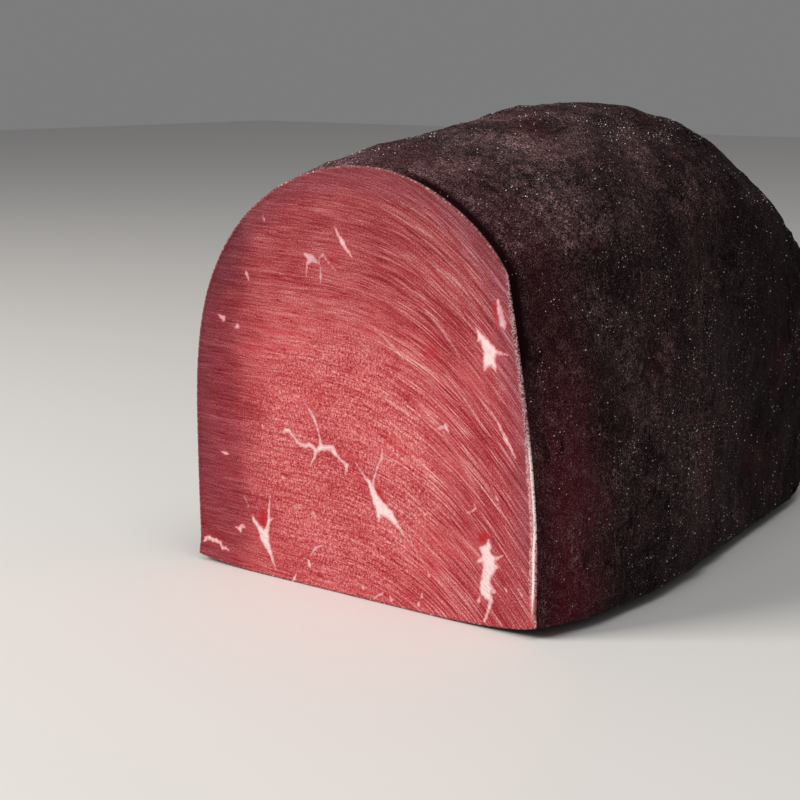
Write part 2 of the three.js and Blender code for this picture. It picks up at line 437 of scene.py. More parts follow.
def rind_relief(points):
    """Fine relief of the dried surface in millimetres, and its wrinkles from -1 to 1."""
    crags = CRAG_HEIGHT * octaves(points, CRAG_SPAN, seed=101, gain=CRAG_GAIN)
    bend = stacked(*(octaves(points, BEND_SPAN, seed=131 + k, count=1) for k in range(3)))
    bent = points + BEND_REACH * bend
    ridge = 1 - np.abs(cell_noise(bent * WORM_STRETCH / WORM_SPAN, seed=151))
    patch = smooth(*WORM_PATCH, cell_noise(points / WORM_PATCH_SPAN, seed=161))
    worms = smooth(*WORM_RIDGE, ridge) * patch
    pits = smooth(*PIT_STEP, cell_noise(points / PIT_SPAN, seed=171))
    line = 1 - np.abs(cell_noise(bent * FOLD_STRETCH / FOLD_SPAN, seed=181))
    patch = smooth(*FOLD_PATCH, cell_noise(points / FOLD_PATCH_SPAN, seed=191))
    folds = smooth(*FOLD_RIDGE, line) * patch
    wrinkles = worms * np.sign(cell_noise(points / WORM_TURN_SPAN, seed=163))
    relief = crags + WORM_DEPTH * wrinkles - PIT_DEPTH * pits - FOLD_DEPTH * folds
    return relief + near_places(points, KNOBS), wrinkles


def plain_rings(y, grow):
    """The rind's rings (ring, place round it, xyz) without the fine relief, from the hidden cap on."""
    at = np.arange(RIND_AROUND) / RIND_AROUND * OUTLINE_LENGTH
    rings = np.stack([body_points(at, np.full(len(at), a), b) for a, b in zip(y, grow)])
    ragged = RIM_RAGGED * octaves(stacked(at, 0, 0), RIM_RAGGED_SPAN, seed=61)
    rings[:, :, 1] += ragged * (1 - smooth(0, RIM_RAGGED_TO_Y, y))[:, None]
    side = outward(at)
    for ring, inset in enumerate((CAP_HIDDEN, RIM_HIDDEN)):
        rings[ring, :, 0] -= inset * side[:, 0]
        rings[ring, :, 2] = np.maximum(rings[ring, :, 2] - inset * side[:, 1], inset)
    rings[0, :, 1] = CAP_Y
    return rings


def rind_faces(rings):
    """Faces and map of the rind, and the material of each face: 1 for the hidden cap."""
    count = len(rings)
    cap = count * RIND_AROUND
    tip = cap + 1
    here = np.arange(RIND_AROUND)
    after = (here + 1) % RIND_AROUND
    length = np.linalg.norm(np.diff(rings, axis=0), axis=2).mean(axis=1).cumsum()
    v = np.concatenate([[0], length]) / (length[-1] + NOSE_ON_MAP)
    u0, u1 = here / RIND_AROUND, (here + 1) / RIND_AROUND
    faces, uv = [], []
    for ring in range(count - 1):
        a, b = ring * RIND_AROUND, (ring + 1) * RIND_AROUND
        faces += stacked(a + here, b + here, b + after, a + after).tolist()
        v0, v1 = v[ring], v[ring + 1]
        uv.append(stacked(u0, v0, u0, v1, u1, v1, u1, v0).reshape(-1, 2))
    last = (count - 1) * RIND_AROUND
    faces += stacked(last + here, tip, last + after).tolist()
    uv.append(stacked(u0, v[-1], (u0 + u1) / 2, 1.0, u1, v[-1]).reshape(-1, 2))
    which = [0] * len(faces) + [1] * RIND_AROUND
    faces += stacked(cap, here, after).tolist()
    uv.append(stacked(0.5, 0.0, u0, 0.0, u1, 0.0).reshape(-1, 2))
    return faces, np.vstack(uv), which


def make_rind(materials):
    """The rind, and its rings for the salt to lie on."""
    y, grow = rind_places()
    rings = plain_rings(y, grow)
    flat = rings.reshape(-1, 3)
    relief, wrinkles = rind_relief(flat)
    fade = smooth(*RIND_FADE_Y, np.repeat(y, RIND_AROUND)) * smooth(*RIND_FADE_Z, flat[:, 2])
    push = (relief - RELIEF_SUNK) * fade
    flat = inside_cad(flat + grid_normals(rings).reshape(-1, 3) * push[:, None])

    points = np.vstack([flat, [[0, CAP_Y, CUT_HEIGHT / 2], [NOSE_X, BODY_LENGTH, NOSE_Z]]])
    faces, uv, which = rind_faces(rings)
    numbers = {
        "from_cut": points[:, 1],
        "wrinkle": np.concatenate([wrinkles, [0, 0]]) + near_places(points, KNOBS),
        "bloom": near_places(points, BLOOMS),
    }
    piece = make_mesh("ham_rind", points, faces, uv, numbers, materials, which)
    return piece, flat.reshape(rings.shape)


# ---- The cut: marbling --------------------

# Each run of fat in the cut: x, z and full width at the places where it bends or changes.
FAT = [
    # the V at the lower left
    [(-44.5, 18.8, 0.5), (-43.4, 17.0, 1.4), (-41.2, 15.1, 1.9), (-39.0, 12.4, 4.1), (-38.0, 10.1, 2.7),
     (-36.6, 7.9, 1.6), (-35.3, 5.2, 1.0), (-34.0, 2.4, 0.4)],
    [(-39.0, 12.6, 3.4), (-37.6, 15.7, 1.5), (-37.0, 18.2, 1.1), (-36.9, 21.7, 0.8), (-36.1, 26.8, 0.4)],
    [(-37.1, 17.9, 0.7), (-35.9, 18.8, 0.5), (-34.9, 19.4, 0.3)],
    # small marks to its left
    [(-51.9, 13.6, 0.5), (-50.3, 13.4, 1.0), (-48.9, 15.1, 0.6)],
    [(-50.3, 13.4, 1.0), (-49.6, 12.6, 0.7)],
    [(-49.6, 13.9, 0.8), (-48.4, 14.4, 0.8), (-47.6, 14.0, 0.5)],
    [(-67.2, 6.2, 0.6), (-66.2, 7.4, 1.0), (-64.6, 7.9, 1.3), (-62.9, 7.3, 1.1), (-61.4, 7.5, 1.4),
     (-59.4, 7.0, 1.1), (-58.5, 5.4, 0.9), (-56.9, 5.7, 0.8), (-55.6, 5.1, 0.5)],
    # bottom, left of the middle
    [(-19.8, 7.9, 0.9), (-19.4, 6.6, 1.6)],
    [(-18.8, 10.0, 0.4), (-16.8, 12.6, 0.8), (-13.4, 14.3, 0.3)],
    [(-25.3, 2.6, 0.5), (-25.8, 1.2, 0.9), (-26.0, 0.0, 1.4)],
    # the long branching vein
    [(-30.3, 48.0, 0.9), (-29.3, 48.7, 1.3), (-27.9, 48.9, 1.2), (-26.0, 47.3, 0.9), (-24.2, 45.8, 1.0),
     (-22.6, 44.9, 1.2), (-20.4, 45.0, 1.2), (-18.9, 45.5, 1.2), (-17.6, 44.9, 1.2), (-16.3, 43.8, 1.4),
     (-14.0, 45.4, 1.9), (-11.6, 45.5, 1.6), (-9.3, 45.7, 1.7), (-8.4, 44.4, 1.6), (-6.9, 43.2, 1.0),
     (-5.2, 42.3, 0.8), (-3.2, 41.2, 1.3), (-3.6, 39.6, 0.9), (-3.7, 38.2, 0.5)],
    [(-16.3, 43.8, 1.3), (-16.9, 41.9, 0.8), (-17.9, 40.1, 0.5), (-18.9, 38.9, 0.3)],
    [(-14.0, 45.4, 1.4), (-14.4, 47.6, 0.8), (-15.3, 50.6, 0.6), (-16.4, 53.4, 1.0), (-17.4, 54.8, 1.0),
     (-18.9, 56.6, 0.6), (-21.1, 58.5, 0.4)],
    # the branching fleck right of the middle
    [(0.3, 42.5, 0.4), (3.8, 38.9, 0.7), (6.0, 37.2, 1.4), (7.5, 34.4, 2.4), (9.2, 31.6, 3.6),
     (11.2, 29.7, 4.4), (14.2, 28.4, 3.4), (16.4, 26.4, 2.0), (18.2, 24.7, 1.2), (20.5, 22.3, 0.6)],
    [(10.0, 30.2, 3.0), (9.8, 27.6, 2.0), (9.8, 25.4, 0.6)],
    [(7.4, 35.4, 1.0), (7.9, 38.6, 0.7), (9.5, 42.7, 0.6), (11.1, 45.6, 0.9), (11.3, 48.3, 0.5)],
    # the tall ragged patch at the lower right
    [(52.1, 26.8, 0.7), (52.0, 25.0, 2.0), (50.9, 23.2, 3.4), (52.2, 20.9, 4.6), (52.4, 18.6, 4.6),
     (51.4, 16.3, 3.2), (51.2, 13.6, 3.8), (51.1, 11.6, 4.2), (51.9, 10.1, 2.6), (53.2, 9.0, 1.5),
     (52.6, 6.8, 1.1), (51.6, 4.2, 0.8), (50.9, 2.4, 1.0)],
    [(50.6, 24.0, 1.6), (49.0, 23.7, 1.1)],
    [(50.8, 20.6, 1.8), (49.0, 20.2, 1.2), (47.5, 19.4, 0.3)],
    [(53.4, 21.6, 1.6), (55.2, 21.9, 0.8), (57.4, 23.2, 0.3)],
    [(53.4, 19.9, 2.4), (55.2, 19.4, 1.0)],
    [(53.0, 12.6, 1.9), (54.4, 11.7, 1.2)],
    [(48.9, 9.2, 0.5), (48.7, 8.1, 0.9), (48.4, 7.0, 0.4)],
    # the patch at the upper right
    [(46.9, 88.2, 0.6), (48.6, 86.0, 1.9), (50.4, 83.9, 3.2), (51.9, 82.0, 4.4), (51.4, 79.9, 3.8),
     (50.6, 78.3, 2.2), (50.1, 76.8, 0.7)],
    [(52.4, 80.2, 2.6), (53.4, 78.2, 1.6), (54.0, 76.6, 0.5)],
    [(53.2, 82.2, 1.6), (55.6, 81.9, 0.8), (58.1, 81.8, 0.3)],
    [(48.1, 85.6, 1.2), (47.4, 84.6, 0.5)],
    # the streak beside the right edge
    [(54.6, 97.0, 0.7), (55.2, 94.0, 1.8), (56.4, 90.6, 2.2), (56.9, 89.2, 0.7)],
    # two flecks near the top
    [(-7.8, 114.3, 0.3), (-6.4, 112.0, 0.7), (-4.7, 109.7, 1.5), (-2.7, 107.4, 0.9), (-0.3, 104.9, 0.3)],
    [(-20.4, 105.1, 0.9), (-17.8, 103.9, 2.4), (-15.9, 103.4, 1.2), (-14.3, 102.7, 0.7)],
    [(-17.8, 103.4, 1.6), (-19.3, 102.0, 0.5), (-19.7, 98.3, 0.4)],
    [(-14.3, 104.2, 0.3), (-12.8, 105.3, 0.6), (-10.2, 103.0, 0.3), (-7.7, 101.0, 0.5)],
    [(-13.6, 101.5, 0.3), (-13.7, 98.6, 0.8), (-13.6, 96.9, 0.5)],
    # single spots
    [(-58.6, 82.9, 0.4), (-57.2, 82.2, 1.0), (-56.4, 81.9, 2.0)],
    [(-51.2, 79.5, 0.6), (-49.9, 79.9, 1.2), (-49.0, 79.8, 0.6)],
    [(-45.9, 98.2, 0.4), (-45.4, 97.0, 1.0), (-44.6, 95.4, 0.7)],
    [(-37.9, 115.6, 0.4), (-37.2, 114.5, 0.6)],
    [(-39.6, 49.8, 0.3), (-39.3, 48.4, 0.9)],
    [(-58.1, 37.9, 0.3), (-56.2, 37.6, 0.8), (-55.1, 37.5, 0.3)],
    [(46.9, 36.8, 0.3), (47.1, 35.4, 0.5), (45.3, 34.2, 0.4), (44.0, 33.6, 0.3)],
    [(54.6, 40.3, 0.4), (55.1, 39.3, 1.0)],
    [(29.3, 12.9, 0.4), (29.8, 12.1, 1.1)],
    [(26.9, 5.8, 0.7), (26.9, 4.9, 0.9)],
    [(25.8, 3.1, 0.5), (25.5, 2.1, 0.9)],
    [(14.3, 2.9, 0.5), (14.9, 1.7, 1.3)],
    [(3.0, 4.3, 0.5), (3.3, 3.4, 1.2)],
    [(7.6, 0.4, 0.3), (9.3, 2.2, 0.5), (11.4, 3.2, 0.7)],
    [(18.4, 21.9, 0.4), (18.5, 20.7, 0.8)],
    [(22.6, 22.0, 0.4), (23.2, 20.3, 0.6)],
    [(63.0, 14.1, 0.4), (64.3, 12.6, 0.7)],
    [(58.3, 13.6, 0.4), (58.8, 12.8, 0.7)],
    [(35.3, 59.6, 0.4), (36.0, 57.9, 1.0), (37.0, 56.8, 0.4)],
    [(36.0, 57.9, 0.8), (34.1, 57.8, 0.6), (32.4, 57.2, 0.4)],
    [(52.6, 64.8, 0.5), (55.6, 61.0, 0.7), (58.0, 57.2, 1.2), (61.4, 52.6, 0.6)],
]

# Fine pale lines, fainter than the fat above.
FAINT = [
    [(8.4, 84.5, 0.3), (12.0, 82.4, 0.5), (15.1, 80.2, 0.6), (19.5, 76.5, 0.3)],
    [(16.6, 78.8, 0.4), (21.5, 77.3, 0.6), (27.5, 75.0, 0.6), (32.4, 73.5, 0.4)],
    [(11.2, 65.4, 0.4), (15.1, 62.7, 0.7), (21.7, 60.3, 0.4)],
    [(2.3, 79.9, 0.4), (6.4, 77.6, 0.4)],
    [(11.3, 45.5, 0.5), (15.5, 45.2, 0.4), (21.0, 43.9, 0.3)],
    [(20.5, 22.4, 0.6), (24.2, 19.4, 0.5), (29.5, 13.4, 0.3)],
    [(-47.8, 24.6, 0.3), (-46.0, 21.4, 0.4)],
    [(-25.6, 24.4, 1.0), (-23.0, 24.6, 0.8)],
    [(-17.5, 23.6, 1.6), (-16.6, 22.2, 1.0)],
    [(44.4, 49.0, 0.3), (49.6, 44.2, 0.4), (55.6, 38.2, 0.3)],
    [(36.0, 74.0, 0.3), (43.0, 67.0, 0.5), (50.0, 59.6, 0.3)],
    [(28.0, 92.0, 0.3), (34.5, 86.5, 0.6), (41.0, 79.5, 0.3)],
]

# Places where the fat is duller and pinker: x, z, reach and strength.
DULL = [
    (56.4, 93.0, 4, 1.0),
    (-16.0, 102.0, 9, 1.0),
    (-53.0, 81.0, 9, 1.0),
    (-45.4, 97.0, 5, 1.0),
    (-37.2, 114.5, 4, 1.0),
]

# Deep red places beside the fat: x, z, reach and strength.
DEEP = [
    (-39.8, 17.6, 1.9, 1.0),
    (-39.0, 20.6, 2.2, 0.5),
    (9.8, 34.8, 1.7, 1.0),
    (11.9, 32.0, 1.7, 0.8),
    (3.0, 36.4, 2.4, 0.5),
    (-1.6, 43.0, 3.0, 0.4),
    (50.6, 27.6, 1.7, 1.0),
    (48.9, 26.4, 1.5, 0.6),
    (53.6, 94.8, 1.1, 0.8),
    (53.9, 92.4, 1.1, 0.8),
    (54.3, 90.2, 1.0, 0.5),
    (-9.0, 105.0, 3.4, 0.2),
    (30.4, 80.0, 2.8, 0.5),
    (-17.0, 58.0, 5.0, 0.3),
]

FAT_WEB = 0.22  # how far fat widens where two runs meet
FAT_NEAREST, FAT_FARTHEST = -3.0, 9.0  # distances past these count as these
FAT_LEAST = 1e-16  # keeps the logarithm away from zero


def fat_distance(x, z, runs):
    """Signed distance to the edge of the nearest fat in millimetres, below zero inside it."""
    total = np.zeros(len(x))
    for run in runs:
        for (x0, z0, w0), (x1, z1, w1) in itertools.pairwise(run):
            dx, dz = x1 - x0, z1 - z0
            share = np.clip(((x - x0) * dx + (z - z0) * dz) / (dx * dx + dz * dz), 0, 1)
            gap = np.hypot(x - x0 - share * dx, z - z0 - share * dz) - (w0 + share * (w1 - w0)) / 2
            total += np.exp(-np.clip(gap, FAT_NEAREST, FAT_FARTHEST) / FAT_WEB)
    return -FAT_WEB * np.log(total + FAT_LEAST)


def faded(x, z, places):
    """The strength of places (x, z, reach, strength) that fade over their reach."""
    total = np.zeros(len(x))
    for place_x, place_z, reach, strength in places:
        total += strength * np.exp(-((x - place_x) ** 2 + (z - place_z) ** 2) / reach**2)
    return total


# ---- The cut: its mesh --------------------

FIBRE_FLAT_X, FIBRE_STEEP_X = -20.0, 84.0  # fibres lie level left of one and steepen to the other
FIBRE_STEEPNESS = 1.15  # mm that they drop for each mm to the right there
FIBRE_TILT = 0.03  # how much they drop everywhere
FIBRE_REACH, FIBRE_STEPS = 90.0, 721  # how far to either side, and in how many steps, they are followed

CUT_EDGE_ROUND, CUT_EDGE_WIDTH = 0.35, 0.8  # how far back, and over what width, the edge is rounded
STRIATION_DEPTH = 0.16
UNDULATION_DEPTH, UNDULATION_SPAN = 0.45, 42.0
RELIEF_FROM_EDGE = 2.0  # over which the relief sets in
FAT_FLATNESS = 0.4  # distance from the fat over which the striation sets in
FINE_ALONG, FINE_ACROSS, FINE_SHARE = 12.0, 1.1, 0.5  # noise along and across the fibres
COARSE_ALONG, COARSE_ACROSS, COARSE_SHARE = 22.0, 3.4, 0.15
PEBBLE_SPAN, PEBBLE_SHARE = 1.6, 0.6

# The granular middle of the cut: its centre, half width and half height, and where it fades.
GRANULAR_X, GRANULAR_Z = -6.0, 40.0
GRANULAR_WIDE, GRANULAR_HIGH = 74.0, 78.0
GRANULAR_FADE = (0.30, 0.62)

# Rings that take the cut's border back into the body: y, how far they lie inside the outline, and how
# far outside the border they lie on the map.
CUT_BACK = 2.2
CUT_RINGS = [(0.7, 0.02, 0.6), (1.1, 0.12, 1.1), (CUT_BACK, 0.5, 1.8)]

GRID_ROUNDS = 40  # rounds that even out the grid
EDGE_STEP = 0.2  # between places of the outline that the distance to it is measured from
MAP_MARGIN, MAP_SIZE = 0.01, 0.98

# Width of the fat rim at heights z up the right edge, in millimetres.
RIM_WIDTH = [
    (2, 0.3), (6, 1.1), (12, 2.3), (24, 2.6), (32, 2.1), (50, 2.3), (58, 1.9), (74, 1.5), (90, 1.6),
    (100, 1.1), (106, 0.2),
]
RIM_PAST_SHOULDER = 4.0  # how far along the outline it goes on past the shoulder


def fibre_coordinates(x, z):
    """Millimetres along the fibres and across them."""
    steps = np.linspace(-FIBRE_REACH, FIBRE_REACH, FIBRE_STEPS)
    slope = FIBRE_TILT + FIBRE_STEEPNESS * smooth(FIBRE_FLAT_X, FIBRE_STEEP_X, steps)
    width = steps[1] - steps[0]
    drop = np.cumsum(slope) * width
    reach = np.cumsum(np.hypot(1, slope)) * width
    return np.interp(x, steps, reach), z + np.interp(x, steps, drop)


def cut_outline(at):
    """The cut's own outline: the section's, drawn in as the rind's edge is."""
    point = outline_point(at)
    inset = LIP_INSET * smooth(0, RELIEF_FADE_Z, point[..., 1])
    return point - outward(at) * inset[..., None]


def cut_grid():
    """The cut as a grid of (x, z), stretched between the four corners of its outline."""
    heel_right, shoulder_right, shoulder_left, heel_left = (
        outline_place(c) for c in (HEEL_RIGHT, SHOULDER_RIGHT, SHOULDER_LEFT, HEEL_LEFT)
    )
    foot = cut_outline(np.linspace(heel_left - OUTLINE_LENGTH, heel_right, CUT_ACROSS + 1))
    arch = cut_outline(np.linspace(shoulder_left, shoulder_right, CUT_ACROSS + 1))
    left = cut_outline(np.linspace(heel_left, shoulder_left, CUT_UP + 1))
    right = cut_outline(np.linspace(heel_right, shoulder_right, CUT_UP + 1))
    u = np.linspace(0, 1, CUT_ACROSS + 1)[None, :, None]
    v = np.linspace(0, 1, CUT_UP + 1)[:, None, None]
    grid = (1 - v) * foot + v * arch + (1 - u) * left[:, None] + u * right[:, None]
    grid -= (1 - u) * (1 - v) * foot[0] + u * (1 - v) * foot[-1]
    grid -= (1 - u) * v * arch[0] + u * v * arch[-1]
    for _ in range(GRID_ROUNDS):
        around = grid[:-2, 1:-1] + grid[2:, 1:-1] + grid[1:-1, :-2] + grid[1:-1, 2:]
        grid[1:-1, 1:-1] = around / 4
    return grid


def nearest_on_outline(x, z):
    """Distance to the cut's outline, how high its nearest point is, and how far along it."""
    at = np.arange(0, OUTLINE_LENGTH, EDGE_STEP)
    edge = cut_outline(at)
    tree = KDTree(len(edge))
    for i, (edge_x, edge_z) in enumerate(edge):
        tree.insert((edge_x, edge_z, 0), i)
    tree.balance()
    found = [tree.find((px, pz, 0)) for px, pz in zip(x.tolist(), z.tolist())]
    index = np.array([f[1] for f in found])
    return np.array([f[2] for f in found]), edge[index, 1], at[index]


def cut_depth(spot, fibre, fat, gap, granular):
    """How deep each point of the cut lies behind the foremost plane, in millimetres."""
    fine = octaves(fibre * (1 / FINE_ALONG, 1 / FINE_ACROSS, 1), 1, seed=211, count=2)
    coarse = octaves(fibre * (1 / COARSE_ALONG, 1 / COARSE_ACROSS, 1), 1, seed=221, count=2)
    pebbled = octaves(spot, PEBBLE_SPAN, seed=231, count=2)
    striation = (1 - granular) * (FINE_SHARE * fine + COARSE_SHARE * coarse)
    striation += granular * PEBBLE_SHARE * pebbled
    depth = STRIATION_DEPTH * (1 + striation * smooth(0, FAT_FLATNESS, fat))
    depth += UNDULATION_DEPTH * (0.5 + 0.5 * octaves(spot, UNDULATION_SPAN, seed=241, count=2))
    depth *= smooth(0, RELIEF_FROM_EDGE, gap)
    depth += CUT_EDGE_ROUND * (1 - smooth(0, CUT_EDGE_WIDTH, gap))
    return np.maximum(depth, 0.0)


def make_cut(materials):
    """The fresh cut: its face, the rings behind the face's border, and the hidden cap behind them."""
    grid = cut_grid()
    x, z = grid.reshape(-1, 2).T
    gap, edge_z, edge_at = nearest_on_outline(x, z)
    spot, fibre = stacked(x, z, 0), stacked(*fibre_coordinates(x, z), 0)
    fat = fat_distance(x, z, FAT)
    off_middle = np.hypot((x - GRANULAR_X) / GRANULAR_WIDE, (z - GRANULAR_Z) / GRANULAR_HIGH)
    granular = smooth(*GRANULAR_FADE, 1 - off_middle)
    front = stacked(x, cut_depth(spot, fibre, fat, gap, granular), z)

    rim_width = value_at(RIM_WIDTH, edge_z) * (edge_at > outline_place(HEEL_RIGHT))
    rim_width *= edge_at < outline_place(SHOULDER_RIGHT) + RIM_PAST_SHOULDER
    numbers = {
        "fibre": fibre,
        "dull": np.minimum(faded(x, z, DULL), 1),
        "spot": spot,
        "fat": fat,
        "faint": fat_distance(x, z, FAINT),
        "deep": faded(x, z, DEEP),
        "rim": rim_width - gap,
        "gap": gap,
        "granular": granular,
    }

    index = np.arange(len(front)).reshape(CUT_UP + 1, CUT_ACROSS + 1)
    border = np.concatenate([index[0, :-1], index[:-1, -1], index[-1, :0:-1], index[:0:-1, 0]])
    inward = -outward(edge_at[border])
    bands, on_map = [front], [spot[:, :2]]
    for y, inset, map_reach in CUT_RINGS:
        band_x, _, band_z = front[border].T
        band_z = np.maximum(band_z + inset * inward[:, 1], 0.0)
        bands.append(stacked(band_x + inset * inward[:, 0], y, band_z))
        on_map.append(spot[border, :2] - inward * map_reach)
    points = np.vstack(bands + [[[0, CUT_BACK, CUT_HEIGHT / 2]]])
    on_map = np.vstack(on_map + [[[0, 0]]])

    faces = stacked(index[:-1, :-1], index[:-1, 1:], index[1:, 1:], index[1:, :-1])
    faces = faces.reshape(-1, 4).tolist()
    here = border
    for k in range(len(CUT_RINGS)):
        outer = len(front) + k * len(border) + np.arange(len(border))
        faces += stacked(here, outer, np.roll(outer, -1), np.roll(here, -1)).tolist()
        here = outer
    which = [0] * len(faces) + [1] * len(border)
    faces += stacked(here, len(points) - 1, np.roll(here, -1)).tolist()

    low, high = on_map.min(axis=0), on_map.max(axis=0)
    on_map = MAP_MARGIN + MAP_SIZE * (on_map - low) / (high - low)
    uv = on_map[np.concatenate([np.array(f) for f in faces])]
    source = np.concatenate([index.ravel()] + [border] * len(CUT_RINGS) + [[0]])
    numbers = {label: values[source] for label, values in numbers.items()}
    return make_mesh("ham_cut", points, faces, uv, numbers, materials, which)


# ---- Materials --------------------


class Shader:
    """A material whose nodes are added one call at a time. Each call returns the node's output."""

    def __init__(self, name):
        self.material = bpy.data.materials.new(name)
        self.material.use_nodes = True
        self.tree = self.material.node_tree
        self.surface = self.tree.nodes["Principled BSDF"]

    def feed(self, socket, value):
        if isinstance(value, bpy.types.NodeSocket):
            self.tree.links.new(value, socket)
        else:
            socket.default_value = value

    def set(self, **values):
        for label, value in values.items():
            self.feed(self.surface.inputs[label.replace("_", " ")], value)

    def node(self, kind, inputs=(), output=0, **settings):
        node = self.tree.nodes.new(kind)
        for label, value in settings.items():
            setattr(node, label, value)
        for index, value in inputs:
            self.feed(node.inputs[index], value)
        return node.outputs[output]

    def number(self, name):
        return self.node("ShaderNodeAttribute", output=2, attribute_name=name)

    def place(self, name):
        return self.node("ShaderNodeAttribute", output=1, attribute_name=name)

    def millimetres(self):
        place = self.node("ShaderNodeTexCoord", output=3)
        return self.scaled(place, (1 / MM,) * 3)

    def parts(self, vector):
        """The three numbers of a vector."""
        return list(self.node("ShaderNodeSeparateXYZ", [(0, vector)]).node.outputs)

    def scaled(self, vector, factors):
        return self.node("ShaderNodeVectorMath", [(0, vector), (1, factors)], operation="MULTIPLY")

    def moved(self, vector, noise, reach):
        """vector, moved about by a coloured noise."""
        centred = self.node("ShaderNodeVectorMath", [(0, noise), (1, (0.5,) * 3)], operation="SUBTRACT")
        pushed = self.scaled(centred, (reach,) * 3)
        return self.node("ShaderNodeVectorMath", [(0, vector), (1, pushed)], operation="ADD")

    def math(self, operation, *values):
        return self.node("ShaderNodeMath", list(enumerate(values)), operation=operation)

    def times(self, *factors):
        return functools.reduce(lambda a, b: self.math("MULTIPLY", a, b), factors)

    def plus(self, start, value, share=1.0):
        """start and a share of value."""
        return self.math("MULTIPLY_ADD", value, share, start)

    def vary(self, start, noise, reach):
        """start, moved up and down by noise, which lies about 0.5."""
        return self.plus(start, self.math("SUBTRACT", noise, 0.5), reach)

    def noise(self, vector, span, detail=2.0, rough=0.5, seed=0.0, output=0):
        """Noise about 0.5. span is its cell in each direction, in the vector's units."""
        span = (span,) * 3 if isinstance(span, (int, float)) else span
        stretched = self.scaled(vector, tuple(1 / s for s in span))
        shift = (seed, 1.7 * seed, 2.9 * seed)
        shifted = self.node("ShaderNodeVectorMath", [(0, stretched), (1, shift)], operation="ADD")
        inputs = [(0, shifted), (2, 1.0), (3, detail), (4, rough)]
        return self.node("ShaderNodeTexNoise", inputs, output=output)

    def noises(self, table, **places):
        """The noises of a table, by name, each read at the place that its row names."""
        made = {name: self.noise(places[at], *settings) for name, (at, *settings) in table.items()}
        return SimpleNamespace(**made)

    def span(self, value, low, high, to_low=0.0, to_high=1.0):
        """value from low to high, as a soft step from to_low to to_high."""
        inputs = enumerate((value, low, high, to_low, to_high))
        return self.node("ShaderNodeMapRange", inputs, interpolation_type="SMOOTHSTEP")

    def ramp(self, value, stops):
        """Display colours at stops of value."""
        node = self.tree.nodes.new("ShaderNodeValToRGB")
        while len(node.color_ramp.elements) < len(stops):
            node.color_ramp.elements.new(0.5)
        for element, (place, colour) in zip(node.color_ramp.elements, stops):
            element.position, element.color = place, linear(*colour)
        self.feed(node.inputs[0], value)
        return node.outputs[0]

    def mix(self, share, a, b, blend="MIX"):
        node = self.tree.nodes.new("ShaderNodeMix")
        node.data_type, node.blend_type = "RGBA", blend
        for socket, value in ((0, share), (6, a), (7, b)):
            self.feed(node.inputs[socket], value)
        return node.outputs[2]

    def tint(self, colour, display_colour, share):
        """colour, with a share of a display colour over it."""
        return self.mix(share, colour, linear(*display_colour))

    def shade(self, colour, factors, share):
        """colour, darkened by three factors at that share."""
        return self.mix(share, colour, (*factors, 1.0), "MULTIPLY")

    def between(self, share, a, b):
        """The number between a and b at that share."""
        return self.node("ShaderNodeMix", [(0, share), (2, a), (3, b)], data_type="FLOAT")

    def bump(self, height, distance, strength=1.0):
        inputs = [("Strength", strength), ("Distance", distance * MM), ("Height", height)]
        return self.node("ShaderNodeBump", inputs)


# Noise of the cut: where it is read, its cell in millimetres, detail, roughness and seed. The cell is
# along the fibres and across them at fibre, and across and up the cut at spot and at pebble.
MEAT_BEND = ((16, 7, 1), 2.0, 0.5, 3)
MEAT_NOISE = {
    "lines": ("fibre", (18, 0.50, 1), 1.0, 0.4, 5),
    "threads": ("fibre", (9, 0.36, 1), 1.0, 0.4, 23),
    "bands": ("fibre", (34, 3.0, 1), 2.0, 0.5, 7),
    "cracks": ("fibre", (7, 0.62, 1), 1.0, 0.5, 21),
    "curds": ("fibre", (1.9, 0.6, 1), 2.0, 0.6, 25),
    "pebbles": ("pebble", (0.62, 0.95, 1), 1.0, 0.5, 11),
    "grain": ("spot", (0.50, 0.46, 1), 1.0, 0.5, 9),
    "blotch": ("spot", (24, 17, 1), 3.0, 0.5, 13),
    "edge": ("spot", (9, 7, 1), 3.0, 0.55, 17),
    "fat_edge": ("spot", (1.1, 1.1, 1), 2.5, 0.6, 19),
    "grit": ("spot", (0.46, 0.52, 1), 1.0, 0.5, 27),
    "crumbs": ("spot", (0.8, 0.8, 1), 1.0, 0.5, 29),
}
FIBRE_BEND, PEBBLE_BEND = 1.5, 3.0  # how far the noise is moved about, in millimetres
STEEP_FROM, STEEP_TO = 2.0, 34.0  # from left to right, the fibres stand out more and more

# How strongly each noise moves the meat's tone: everywhere, and what is added where the fibres are
# steep or in the granular middle.
TONE_START = 0.50
LINE_SHARE, LINE_SHARE_STEEP, LINE_SHARE_GRANULAR = 0.30, 0.24, -0.66
THREAD_SHARE, THREAD_SHARE_STEEP = 0.44, 0.32
PALE_LINE_SHARE, PALE_LINE_SHARE_STEEP, PALE_LINE_STEP = 0.02, 0.085, (0.54, 0.66)
PEBBLE_TONE, PEBBLE_TONE_GRANULAR = 0.14, 0.66
GRAIN_TONE, BAND_TONE, BLOTCH_TONE = 0.66, 0.22, 0.34
CRACK_TONE, CRACK_STEP = -0.16, (0.42, 0.26)
GRANULAR_TONE = 0.045

